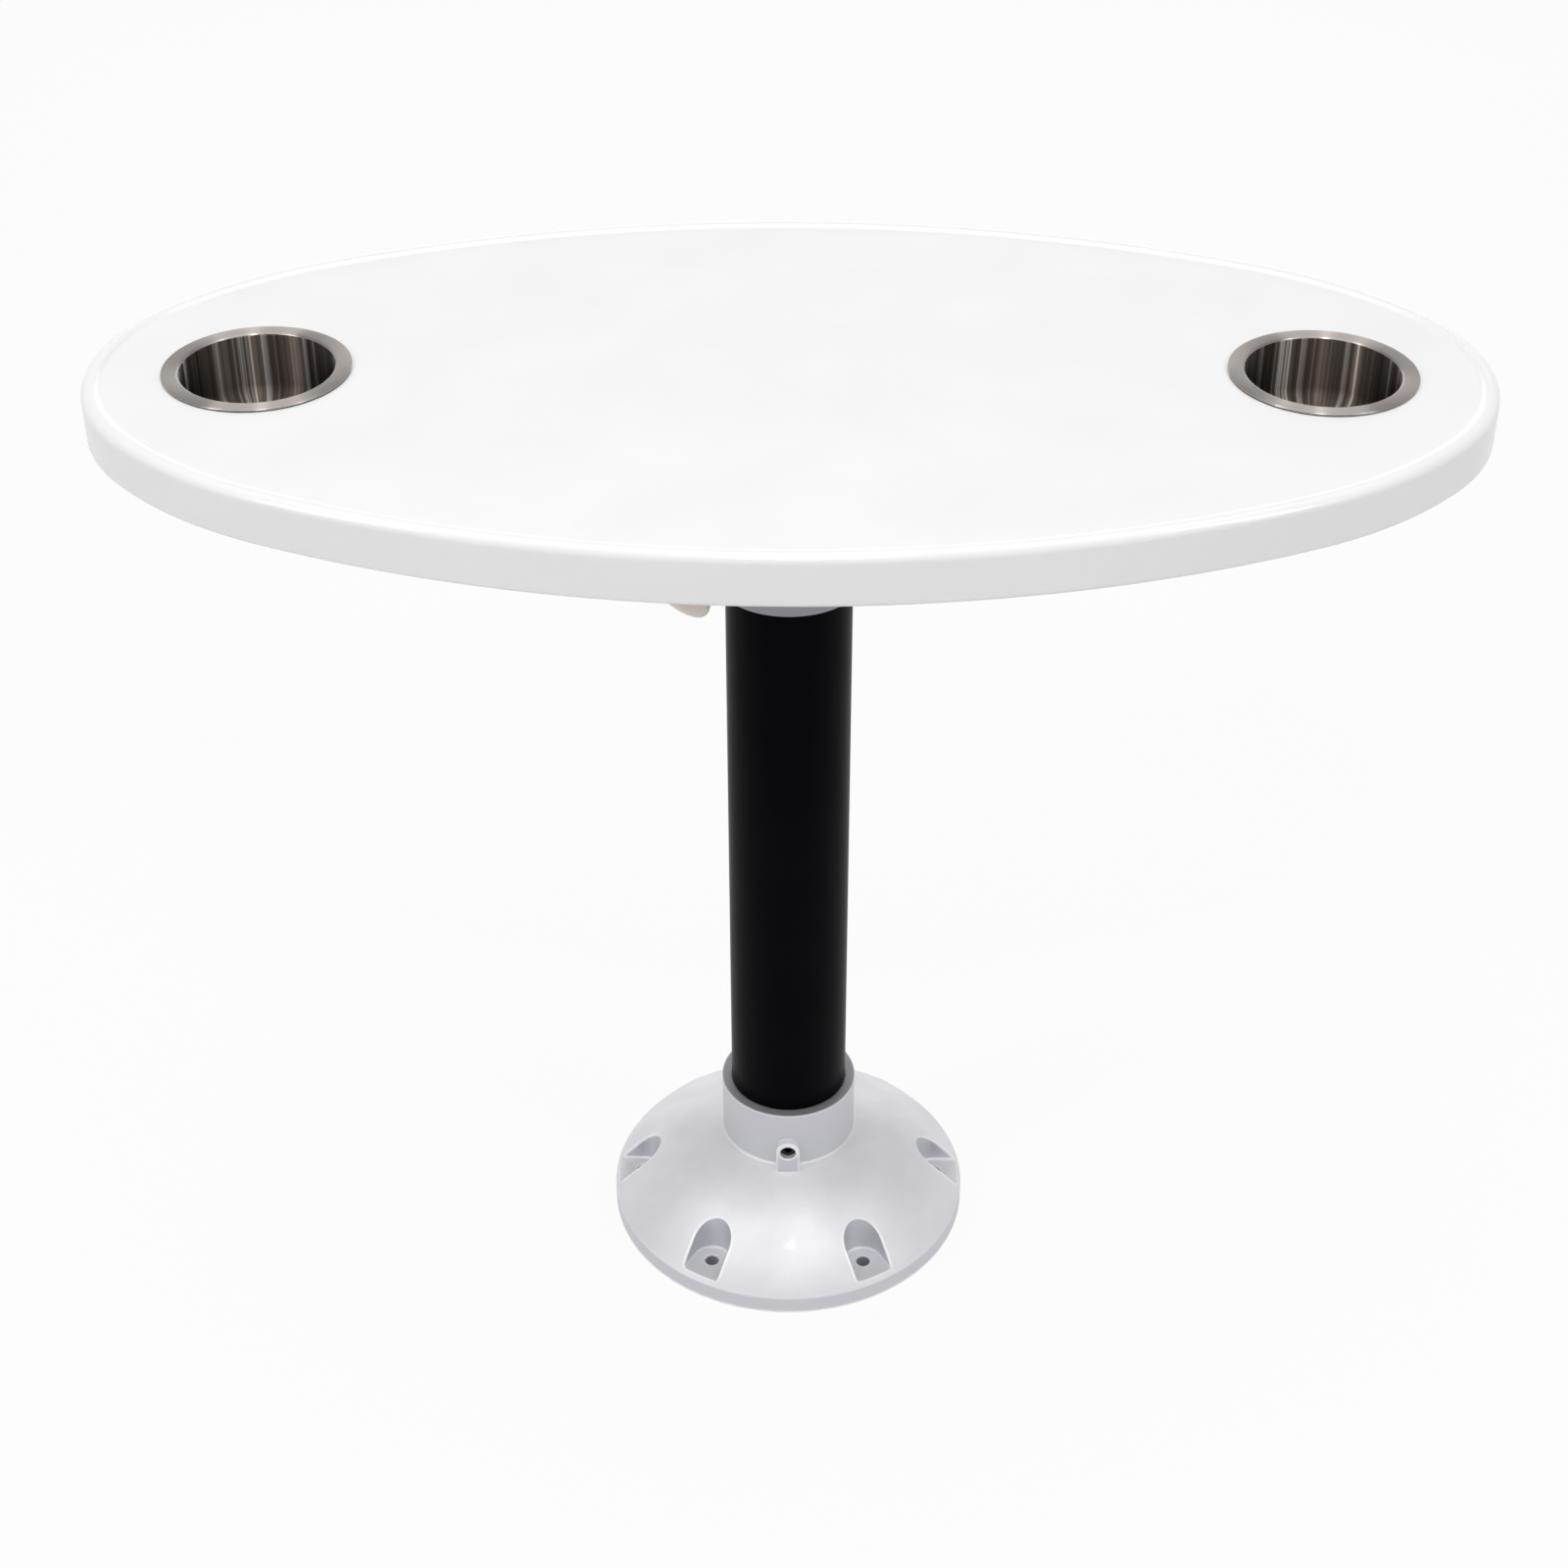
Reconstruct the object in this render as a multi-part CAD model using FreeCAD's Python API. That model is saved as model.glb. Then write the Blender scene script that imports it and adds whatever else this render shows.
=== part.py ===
import FreeCAD, Part
import math
import os
from FreeCAD import Vector

# Oval boat table on a telescoping pedestal, in millimetres, +Z up.
# The origin is the middle of the base's underside, on the post's axis, and +X runs along the oval.

# Shared values: cuts run past a face by overrun, and level finds edges that lie at one height.
overrun = 10.0
level = 0.001
fixed_fit = 0.05
running_fit = 0.08

# Cast floor base
base_radius = 114.3
base_rim = 11.4
base_rim_round = 1.6
dome_height = 60.5
dome_bulge = 7.0
dome_fillet = 1.4
dome_wall = 7.0
rim_wall = 9.0
socket_wall = 6.0
socket_height = 101.0
socket_edge = 0.5
seat_height = 18.0
seat_width = 6.0
bolt_inset = 17.8
bolt_count = 6
bolt_hole_radius = 4.4
pocket_radius = 12.5
pocket_floor = 14.8
pocket_fillet = 1.6
pocket_wall = 4.0
base_rib = 5.0
base_rib_clearance = 3.0

# Set screw boss on the socket's front
boss_radius = 7.6
boss_reach = 5.8
boss_level = 74.6
boss_edge = 0.7
post_screw_radius = 5.0
post_screw_length = 8.0
post_screw_key = 5.0
post_screw_key_depth = 4.0

# Outer post tube
post_radius = 36.5
post_wall = 3.0
post_length = 491.0
post_slot = 4.0
post_slot_depth = 34.0

# Split clamp collar round the post's top
collar_wall = 5.0
collar_height = 43.0
collar_edge = 1.4
collar_slit = 4.0
ear_thickness = 14.0
ear_height = 28.0
ear_round = 8.0
bolt_offset = 10.5
ear_margin = 10.0

# Nylon bush in the post's top
bush_length = 90.0
bush_flange = 3.0
bush_slit = 3.0

# Tie bolt, nut and cam washer
tie_bolt_radius = 3.9
tie_bolt_end = 3.0
nut_across = 13.0
nut_height = 6.5
washer_radius = 9.0
washer_thickness = 5.0

# Cam lever and the barrel pin it turns on
pin_radius = 5.5
pin_length = 21.0
cam_radius = 11.0
cam_lift = 1.2
cam_gap = 0.4
cam_height = 22.0
cam_edge = 1.5
lever_slot_room = 0.6
lever_bow_radius = 58.5
lever_bow_lean = 8.0
lever_sweep = 153.0
lever_shares = (0.0, 0.25, 0.55, 0.8, 0.91, 0.97, 1.0)
lever_heights = (17.0, 15.0, 13.0, 14.0, 18.0, 17.0, 7.0)
lever_widths = (10.0, 10.0, 9.0, 10.0, 13.0, 12.0, 5.0)
lever_drops = (0.0, 0.0, 0.0, 0.0, 1.0, 1.4, 1.4)

# Inner post tube, its glide ring and the circlips that hold the ring
inner_radius = 30.15
inner_wall = 3.0
inner_tail = 4.0
height_travel = 165.0
glide_length = 36.0
glide_slit = 3.0
glide_play = 0.1
stop_gap = 0.5
circlip_thickness = 1.6
circlip_groove = 0.8
circlip_radial = 3.0
circlip_opening = 14.0

# Cast mount under the top
mount_height = 60.8
mount_rest_gap = 0.4
hub_radius = 39.0
hub_top_radius = 43.0
hub_edge = 2.0
mount_plate_radius = 89.0
mount_plate = 7.0
mount_plate_edge = 2.0
mount_rib = 6.0
mount_rib_margin = 8.0
mount_rib_foot = 14.0
mount_screw_count = 6
mount_screw_circle = 74.0
mount_screw_radius = 2.4
mount_screw_length = 20.0
mount_screw_point = 3.0
mount_screw_head_radius = 4.8
mount_screw_head = 2.8
round_head_share = 0.8
hub_screw_count = 3
hub_screw_radius = 4.0
hub_screw_length = 8.0
hub_screw_drop = 22.0
hub_screw_key = 4.0
hub_screw_key_depth = 3.5

# Oval top: moulded shell, core board and backing panel
table_length = 762.0
table_width = 406.4
table_thickness = 28.6
shoulder_radius = 237.0
end_angle = 40.0
side_angle = 65.0
lip_crest = 6.2
lip_width = 11.2
lip_height = 2.0
edge_round = 5.0
foot_round = 2.0
shell_skirt = 5.0
shell_skin = 4.0
panel_thickness = 3.0
panel_inset = 0.5
board_clearance = 0.2

# Cup holders and their gaskets
cup_end_distance = 93.0
cup_flange_radius = 51.4
cup_mouth_radius = 41.9
cup_depth = 38.0
cup_wall = 1.0
cup_bend = 8.0
cup_mouth_round = 0.8
cup_hole_clearance = 0.6
gasket_thickness = 0.6
gasket_inset = 0.4

# Heights of the stack, from the floor up
post_top = seat_height + post_length
collar_top = post_top + bush_flange
collar_bottom = collar_top - collar_height
clamp_level = collar_bottom + collar_height / 2
hub_bottom = collar_top + mount_rest_gap
mount_top = hub_bottom + mount_height
plate_under = mount_top - mount_plate
underside = mount_top - panel_inset
table_top = underside + table_thickness
surface = table_top - lip_height
skin_under = surface - shell_skin
board_under = mount_top + panel_thickness
inner_top = plate_under
bush_under = post_top - bush_length
glide_top = bush_under - height_travel - stop_gap - circlip_thickness - glide_play
glide_under = glide_top - glide_length
inner_bottom = glide_under - glide_play - circlip_thickness - inner_tail

# Radii and places that follow from the fits
bolt_circle_radius = base_radius - bolt_inset
socket_bore = post_radius + fixed_fit
socket_radius = socket_bore + socket_wall
post_bore = post_radius - post_wall
collar_bore = post_radius + fixed_fit
collar_radius = collar_bore + collar_wall
bolt_y = collar_radius + bolt_offset
ear_face = collar_slit / 2 + ear_thickness
cam_seat = ear_face + washer_thickness
pin_x = -(cam_seat + cam_gap + cam_radius)
cup_spacing = table_length - 2 * cup_end_distance
cup_hole_radius = cup_mouth_radius + cup_wall + cup_hole_clearance
flange_under = surface + gasket_thickness

origin = Vector(0, 0, 0)
up = Vector(0, 0, 1)
full_turn = 360.0
half_turn = full_turn / 2


def disc(radius, low, high, x=0.0, y=0.0):
    return Part.makeCylinder(radius, high - low, Vector(x, y, low))


def ring(outer, inner, low, high):
    return disc(outer, low, high).cut(disc(inner, low - overrun, high + overrun))


def block(x_low, x_high, y_low, y_high, z_low, z_high):
    return Part.makeBox(x_high - x_low, y_high - y_low, z_high - z_low, Vector(x_low, y_low, z_low))


def oval_radii():
    """End and side radii that make tangent arcs meet the oval's length and width."""
    end = math.radians(end_angle)
    side = math.radians(side_angle)
    along_x = table_length / 2 - shoulder_radius * (math.cos(end) - math.cos(side))
    along_y = table_width / 2 - shoulder_radius * (math.sin(side) - math.sin(end))
    scale = (1 - math.cos(end)) * (1 - math.sin(side)) - math.cos(side) * math.sin(end)
    end_radius = (along_x * (1 - math.sin(side)) - along_y * math.cos(side)) / scale
    side_radius = (along_y * (1 - math.cos(end)) - along_x * math.sin(end)) / scale
    return end_radius, side_radius


def oval_arcs():
    """Centre, radius and first and last angle of each arc round the oval."""
    end_radius, side_radius = oval_radii()
    end = math.radians(end_angle)
    side = math.radians(side_angle)
    end_x = table_length / 2 - end_radius
    shoulder_x = end_x + (end_radius - shoulder_radius) * math.cos(end)
    shoulder_y = (end_radius - shoulder_radius) * math.sin(end)
    half = [(end_x, 0, end_radius, -end, end),
            (shoulder_x, shoulder_y, shoulder_radius, end, side),
            (0, table_width / 2 - side_radius, side_radius, side, math.pi - side),
            (-shoulder_x, shoulder_y, shoulder_radius, math.pi - side, math.pi - end)]
    arcs = []
    for turn in (0, math.pi):
        for x, y, radius, first, last in half:
            centre = Vector(x * math.cos(turn), y * math.cos(turn), 0)
            arcs.append((centre, radius, turn + first, turn + last))
    return arcs


def oval(inset, low, high):
    """Solid oval, set in from the table's edge."""
    sides = []
    for centre, radius, first, last in oval_arcs():
        spots = [centre + Vector((radius - inset) * math.cos(angle), (radius - inset) * math.sin(angle), low)
                 for angle in (first, (first + last) / 2, last)]
        sides.append(Part.Arc(*spots).toShape())
    return Part.Face(Part.Wire(sides)).extrude(Vector(0, 0, high - low))


def oval_rim(section):
    """Carry a section of (inset, height) lines and arcs round the oval's edge."""
    pieces = []
    for centre, radius, first, last in oval_arcs():
        edges = []
        for spots in section:
            places = [centre + Vector(radius - inset, 0, z) for inset, z in spots]
            made = Part.Arc(*places) if len(places) == 3 else Part.LineSegment(*places)
            edges.append(made.toShape())
        face = Part.Face(Part.Wire(edges))
        face.rotate(centre, up, math.degrees(first))
        pieces.append(face.revolve(centre, up, math.degrees(last - first)))
    return pieces[0].fuse(pieces[1:])


def turned(edges):
    return Part.Face(Part.Wire(edges)).revolve(origin, up, full_turn)


def section_line(points):
    spots = [Vector(r, 0, z) for r, z in points]
    return [Part.LineSegment(a, b).toShape() for a, b in zip(spots, spots[1:])]


def bowed_edge(start, end, bulge):
    """Arc in the section plane that stands out from its chord by bulge, away from the floor."""
    middle = Vector((start[0] + end[0]) / 2, 0, (start[1] + end[1]) / 2)
    chord = Vector(end[0] - start[0], 0, end[1] - start[1]).normalize()
    outward = Vector(chord.z, 0, -chord.x)
    crest = middle + outward * bulge
    return Part.Arc(Vector(start[0], 0, start[1]), crest, Vector(end[0], 0, end[1])).toShape()


def around(shape, count, first=0.0):
    copies = []
    for step in range(count):
        copy = shape.copy()
        copy.rotate(origin, up, first + step * full_turn / count)
        copies.append(copy)
    return copies


def edges_at(shape, height, span=None):
    """Edges that lie flat at one height, and that are span wide along X where span is given."""
    found = []
    for edge in shape.Edges:
        box = edge.BoundBox
        flat = abs(box.ZMin - height) < level and abs(box.ZMax - height) < level
        if flat and (span is None or abs(box.XLength - span) < level):
            found.append(edge)
    return found


def rounded_at(shape, radius, height, span=None):
    return shape.makeFillet(radius, edges_at(shape, height, span))


def hex_bar(across, low, high):
    reach = across / 2 / math.cos(math.pi / 6)
    corners = [Vector(reach * math.cos(k * math.pi / 3), reach * math.sin(k * math.pi / 3), low)
               for k in range(7)]
    return Part.Face(Part.makePolygon(corners)).extrude(Vector(0, 0, high - low))


def grub_screw(radius, length, key, key_depth):
    """Headless screw on +Z, its point at the origin and its key socket at the far end."""
    body = Part.makeCylinder(radius, length)
    return body.cut(hex_bar(key, length - key_depth, length + overrun))


def along(shape, direction, place):
    """Turn a shape made on +Z to point along direction, and set it at place."""
    moved = shape.copy()
    moved.Placement = FreeCAD.Placement(place, FreeCAD.Rotation(up, direction))
    return moved


def save(name, shape):
    shape.exportStep(os.path.join("parts", name + ".step"))


def pocket_outline(radius, low, high):
    """Column with a round inner end at a bolt hole, running out past the rim."""
    hollow = disc(radius, low, high, bolt_circle_radius)
    run = block(bolt_circle_radius, base_radius + overrun, -radius, radius, low, high)
    return hollow.fuse(run).removeSplitter()


def base_body():
    dome_foot = (base_radius, base_rim)
    dome_crown = (socket_radius, dome_height)
    outline = section_line([(0, 0), (base_radius, 0), dome_foot])
    outline.append(bowed_edge(dome_foot, dome_crown, dome_bulge))
    outline += section_line([dome_crown, (socket_radius, socket_height), (0, socket_height), (0, 0)])
    body = turned(outline)
    body = rounded_at(body, dome_fillet, dome_height)
    body = rounded_at(body, base_rim_round, base_rim)
    return rounded_at(body, socket_edge, socket_height)


def base_hollow():
    """Space under the dome, less the bolt columns and the ribs between them."""
    foot = (base_radius - rim_wall, base_rim - dome_wall)
    crown = (socket_radius, dome_height - dome_wall)
    outline = section_line([crown, (socket_radius, -overrun), (base_radius - rim_wall, -overrun), foot])
    outline.append(bowed_edge(foot, crown, dome_bulge))
    hollow = turned(outline)
    column = pocket_outline(pocket_radius + pocket_wall, -overrun, dome_height)
    rib = block(0, base_radius, -base_rib / 2, base_rib / 2, base_rib_clearance, dome_height)
    return hollow.cut(around(column, bolt_count)).cut(around(rib, bolt_count, half_turn / bolt_count))


def set_screw_boss():
    """Boss with a round top and a square foot that runs down into the dome."""
    front = -(socket_radius + boss_reach)
    barrel = along(Part.makeCylinder(boss_radius, -front), Vector(0, 1, 0), Vector(0, front, boss_level))
    foot = block(-boss_radius, boss_radius, front, 0, dome_height - dome_wall, boss_level)
    boss = barrel.fuse(foot).removeSplitter()
    rim = [edge for edge in boss.Edges
           if abs(edge.BoundBox.YMax - front) < level and edge.BoundBox.ZMin > boss_level - boss_radius]
    return boss.makeFillet(boss_edge, rim)


def make_floor_base():
    body = base_body().cut(base_hollow())
    body = body.fuse(set_screw_boss()).removeSplitter()
    pocket = pocket_outline(pocket_radius, pocket_floor, dome_height + overrun)
    pocket = rounded_at(pocket, pocket_fillet, pocket_floor)
    body = body.cut(around(pocket, bolt_count))
    hole = disc(bolt_hole_radius, -overrun, pocket_floor + overrun, bolt_circle_radius)
    body = body.cut(around(hole, bolt_count))
    body = body.cut(disc(socket_bore, seat_height, socket_height + overrun))
    body = body.cut(disc(socket_bore - seat_width, -overrun, seat_height + overrun))
    screw_way = along(Part.makeCylinder(post_screw_radius + fixed_fit, socket_radius + boss_reach + overrun),
                      Vector(0, -1, 0), Vector(0, 0, boss_level))
    return body.cut(screw_way)


def make_base_set_screw():
    screw = grub_screw(post_screw_radius, post_screw_length, post_screw_key, post_screw_key_depth)
    return along(screw, Vector(0, -1, 0), Vector(0, -post_radius - fixed_fit, boss_level))


def make_outer_post():
    tube = ring(post_radius, post_bore, seat_height, post_top)
    slot = block(-post_slot / 2, post_slot / 2, -post_radius - overrun, post_radius + overrun,
                 post_top - post_slot_depth, post_top + overrun)
    return tube.cut(slot)


def make_clamp_collar():
    band = disc(collar_radius, collar_bottom, collar_top)
    band = rounded_at(band, collar_edge, collar_bottom)
    band = rounded_at(band, collar_edge, collar_top)
    ear_end = bolt_y + ear_margin
    ears = block(-ear_face, ear_face, 0, ear_end, clamp_level - ear_height / 2, clamp_level + ear_height / 2)
    corners = [edge for edge in ears.Edges
               if abs(edge.BoundBox.XLength - 2 * ear_face) < level and edge.BoundBox.YMin > 0]
    collar = band.fuse(ears.makeFillet(ear_round, corners)).removeSplitter()
    collar = collar.cut(disc(collar_bore, collar_bottom - overrun, collar_top + overrun))
    collar = collar.cut(block(-collar_slit / 2, collar_slit / 2, 0, ear_end + overrun,
                              collar_bottom - overrun, collar_top + overrun))
    bolt_way = along(Part.makeCylinder(tie_bolt_radius + fixed_fit, 2 * (ear_face + overrun)),
                     Vector(1, 0, 0), Vector(-ear_face - overrun, bolt_y, clamp_level))
    return collar.cut(bolt_way)


def make_clamp_bush():
    outer = post_bore - fixed_fit
    inner = inner_radius + running_fit
    bush = ring(outer, inner, bush_under, post_top).fuse(ring(post_radius, inner, post_top, collar_top))
    slit = block(-bush_slit / 2, bush_slit / 2, 0, post_radius + overrun,
                 bush_under - overrun, collar_top + overrun)
    return bush.removeSplitter().cut(slit)


def make_clamp_bolt():
    reach = ear_face + nut_height + tie_bolt_end - pin_x
    rod = Part.makeCylinder(tie_bolt_radius, reach)
    return along(rod, Vector(1, 0, 0), Vector(pin_x, bolt_y, clamp_level))


def make_clamp_nut():
    nut = hex_bar(nut_across, 0, nut_height)
    nut = nut.cut(Part.makeCylinder(tie_bolt_radius + fixed_fit, nut_height + overrun))
    return along(nut, Vector(1, 0, 0), Vector(ear_face, bolt_y, clamp_level))


def make_cam_washer():
    """Thick washer between the ear and the cam, hollowed to the cam's round."""
    washer = Part.makeCylinder(washer_radius, washer_thickness)
    washer = washer.cut(Part.makeCylinder(tie_bolt_radius + fixed_fit, washer_thickness + overrun))
    washer = along(washer, Vector(-1, 0, 0), Vector(-ear_face, bolt_y, clamp_level))
    seat_radius = cam_radius + cam_gap
    seat = disc(seat_radius, clamp_level - cam_height, clamp_level + cam_height, pin_x + cam_lift, bolt_y)
    return washer.cut(seat)


def make_lever_pin():
    pin = disc(pin_radius, clamp_level - pin_length / 2, clamp_level + pin_length / 2, pin_x, bolt_y)
    hole = along(Part.makeCylinder(tie_bolt_radius + fixed_fit, pin_radius + overrun),
                 Vector(1, 0, 0), Vector(pin_x, bolt_y, clamp_level))
    return pin.cut(hole)


def lever_bow():
    """Curved handle, lofted through ovals that follow the collar round from the cam to a full tip."""
    lean = math.radians(lever_bow_lean)
    centre = Vector(pin_x + lever_bow_radius * math.sin(lean),
                    bolt_y - lever_bow_radius * math.cos(lean), clamp_level)
    sections = []
    for share, height, width, drop in zip(lever_shares, lever_heights, lever_widths, lever_drops):
        angle = math.pi / 2 + lean + math.radians(lever_sweep) * share
        outward = Vector(math.cos(angle), math.sin(angle), 0)
        section = Part.Wire(Part.Ellipse(origin, height / 2, width / 2).toShape())
        place = centre + outward * lever_bow_radius - up * drop
        section.Placement = FreeCAD.Placement(place, FreeCAD.Rotation(up, outward, up.cross(outward), "XYZ"))
        sections.append(section)
    return Part.makeLoft(sections, True, False)


def make_clamp_lever():
    cam_low = clamp_level - cam_height / 2
    cam_top = clamp_level + cam_height / 2
    cam = disc(cam_radius, cam_low, cam_top, pin_x + cam_lift, bolt_y)
    cam = rounded_at(rounded_at(cam, cam_edge, cam_low), cam_edge, cam_top)
    lever = cam.fuse(lever_bow()).removeSplitter()
    slot = tie_bolt_radius + lever_slot_room
    reach = cam_radius + overrun
    lever = lever.cut(block(pin_x - slot, pin_x + reach, bolt_y - slot, bolt_y + reach,
                            clamp_level - slot, clamp_level + slot))
    return lever.cut(disc(pin_radius + running_fit, cam_low - overrun, cam_top + overrun, pin_x, bolt_y))


def make_inner_post():
    tube = ring(inner_radius, inner_radius - inner_wall, inner_bottom, inner_top)
    for low in (glide_top + glide_play, glide_under - glide_play - circlip_thickness):
        groove = ring(inner_radius + overrun, inner_radius - circlip_groove, low, low + circlip_thickness)
        tube = tube.cut(groove)
    return tube


def make_lower_glide():
    glide = ring(post_bore - running_fit, inner_radius + running_fit, glide_under, glide_top)
    slit = block(-glide_slit / 2, glide_slit / 2, 0, post_bore + overrun,
                 glide_under - overrun, glide_top + overrun)
    return glide.cut(slit)


def make_glide_circlips():
    clips = []
    inner = inner_radius - circlip_groove + fixed_fit
    for low in (glide_top + glide_play, glide_under - glide_play - circlip_thickness):
        top = low + circlip_thickness - fixed_fit
        clip = ring(inner + circlip_radial, inner, low + fixed_fit, top)
        gap = block(-circlip_opening / 2, circlip_opening / 2, 0, post_radius, low - overrun, top + overrun)
        clips.append(clip.cut(gap))
    return Part.makeCompound(clips)


def mount_rib_wall():
    """Web that runs out from the hub and tapers up to the plate."""
    tip = mount_plate_radius - mount_rib_margin
    mid_plate = plate_under + mount_plate / 2
    corners = [(0, hub_bottom + mount_rib_foot), (hub_radius, hub_bottom + mount_rib_foot),
               (tip, plate_under), (tip, mid_plate), (0, mid_plate)]
    spots = [Vector(x, -mount_rib / 2, z) for x, z in corners]
    return Part.Face(Part.makePolygon(spots + spots[:1])).extrude(Vector(0, mount_rib, 0))


def make_table_mount():
    plate = disc(mount_plate_radius, plate_under, mount_top)
    plate = rounded_at(plate, mount_plate_edge, plate_under)
    hub = Part.makeCone(hub_radius, hub_top_radius, plate_under - hub_bottom, Vector(0, 0, hub_bottom))
    hub = rounded_at(hub, hub_edge, hub_bottom)
    mount = plate.fuse([hub] + around(mount_rib_wall(), mount_screw_count, half_turn / mount_screw_count))
    mount = mount.removeSplitter().cut(disc(inner_radius + fixed_fit, hub_bottom - overrun, inner_top))
    hole = disc(mount_screw_radius + fixed_fit, plate_under - overrun, mount_top + overrun,
                mount_screw_circle)
    mount = mount.cut(around(hole, mount_screw_count))
    screw_way = along(Part.makeCylinder(hub_screw_radius + fixed_fit, hub_top_radius + overrun),
                      Vector(1, 0, 0), Vector(0, 0, hub_bottom + hub_screw_drop))
    return mount.cut(around(screw_way, hub_screw_count, half_turn / 2))


def make_mount_screws():
    """Round-head screws, driven up through the mount's plate into the core board."""
    head_low = plate_under - mount_screw_head
    head = disc(mount_screw_head_radius, head_low, plate_under)
    head = rounded_at(head, mount_screw_head * round_head_share, head_low)
    tip = plate_under + mount_screw_length
    shank = disc(mount_screw_radius, plate_under, tip - mount_screw_point)
    point = Part.makeCone(mount_screw_radius, 0, mount_screw_point, Vector(0, 0, tip - mount_screw_point))
    screw = head.fuse([shank, point]).removeSplitter()
    screw.translate(Vector(mount_screw_circle, 0, 0))
    return Part.makeCompound(around(screw, mount_screw_count))


def make_mount_set_screws():
    screw = grub_screw(hub_screw_radius, hub_screw_length, hub_screw_key, hub_screw_key_depth)
    screw = along(screw, Vector(1, 0, 0), Vector(inner_radius + fixed_fit, 0, hub_bottom + hub_screw_drop))
    return Part.makeCompound(around(screw, hub_screw_count, half_turn / 2))


def with_cup_holes(shape):
    for side in (-1, 1):
        hole = disc(cup_hole_radius, underside - overrun, table_top + overrun, side * cup_spacing / 2)
        shape = shape.cut(hole)
    return shape


def lip_section():
    """Section of the top's edge: round over, crest, soft step down to the surface, skirt and foot."""
    turn = 1 - math.cos(math.pi / 4)
    half_run = (lip_width - lip_crest) / 2
    half_drop = lip_height / 2
    step_radius = (half_run ** 2 + half_drop ** 2) / lip_height
    lean = math.asin(half_run / step_radius) / 2
    run = step_radius * math.sin(lean)
    drop = step_radius * (1 - math.cos(lean))
    middle = (lip_crest + half_run, table_top - half_drop)
    return [[(0, underside + foot_round), (0, table_top - edge_round)],
            [(0, table_top - edge_round), (edge_round * turn, table_top - edge_round * turn),
             (edge_round, table_top)],
            [(edge_round, table_top), (lip_crest, table_top)],
            [(lip_crest, table_top), (lip_crest + run, table_top - drop), middle],
            [middle, (lip_width - run, surface + drop), (lip_width, surface)],
            [(lip_width, surface), (lip_width, skin_under)],
            [(lip_width, skin_under), (shell_skirt, skin_under)],
            [(shell_skirt, skin_under), (shell_skirt, underside)],
            [(shell_skirt, underside), (foot_round, underside)],
            [(foot_round, underside), (foot_round * turn, underside + foot_round * turn),
             (0, underside + foot_round)]]


def make_top_shell():
    """Moulded top with a raised lip round its edge and an open underside."""
    shell = oval_rim(lip_section()).fuse(oval(lip_width, skin_under, surface))
    return with_cup_holes(shell.removeSplitter())


def board(low, high):
    sheet = with_cup_holes(oval(shell_skirt + board_clearance, low, high))
    tip = plate_under + mount_screw_length
    pilot = disc(mount_screw_radius + fixed_fit, underside - overrun, tip + fixed_fit, mount_screw_circle)
    return sheet.cut(around(pilot, mount_screw_count))


def make_cup_holder(side):
    flange_top = flange_under + cup_wall
    floor = flange_top - cup_depth
    flange = disc(cup_flange_radius, flange_under, flange_top)
    flange = rounded_at(flange, cup_wall / 2, flange_top)
    can = disc(cup_mouth_radius + cup_wall, floor - cup_wall, flange_top)
    can = rounded_at(can, cup_bend + cup_wall, floor - cup_wall)
    inside = rounded_at(disc(cup_mouth_radius, floor, flange_top + overrun), cup_bend, floor)
    cup = can.fuse(flange).removeSplitter().cut(inside)
    cup = rounded_at(cup, cup_mouth_round, flange_top, 2 * cup_mouth_radius)
    cup.translate(Vector(side * cup_spacing / 2, 0, 0))
    return cup


def make_cup_gasket(side):
    gasket = ring(cup_flange_radius - gasket_inset, cup_hole_radius, surface, flange_under)
    gasket.translate(Vector(side * cup_spacing / 2, 0, 0))
    return gasket


os.makedirs("parts", exist_ok=True)
save("floor_base", make_floor_base())
save("base_set_screw", make_base_set_screw())
save("outer_post", make_outer_post())
save("clamp_collar", make_clamp_collar())
save("clamp_bush", make_clamp_bush())
save("clamp_bolt", make_clamp_bolt())
save("clamp_nut", make_clamp_nut())
save("cam_washer", make_cam_washer())
save("lever_pin", make_lever_pin())
save("clamp_lever", make_clamp_lever())
save("inner_post", make_inner_post())
save("lower_glide", make_lower_glide())
save("glide_circlips", make_glide_circlips())
save("table_mount", make_table_mount())
save("mount_screws", make_mount_screws())
save("mount_set_screws", make_mount_set_screws())
save("top_shell", make_top_shell())
save("core_board", board(board_under, skin_under))
save("backing_panel", board(mount_top, board_under))
for side_name, side in (("left", -1), ("right", 1)):
    save(side_name + "_cup_holder", make_cup_holder(side))
    save(side_name + "_cup_gasket", make_cup_gasket(side))
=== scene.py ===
import bmesh
import bpy
import math
from mathutils import Matrix, Vector


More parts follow.
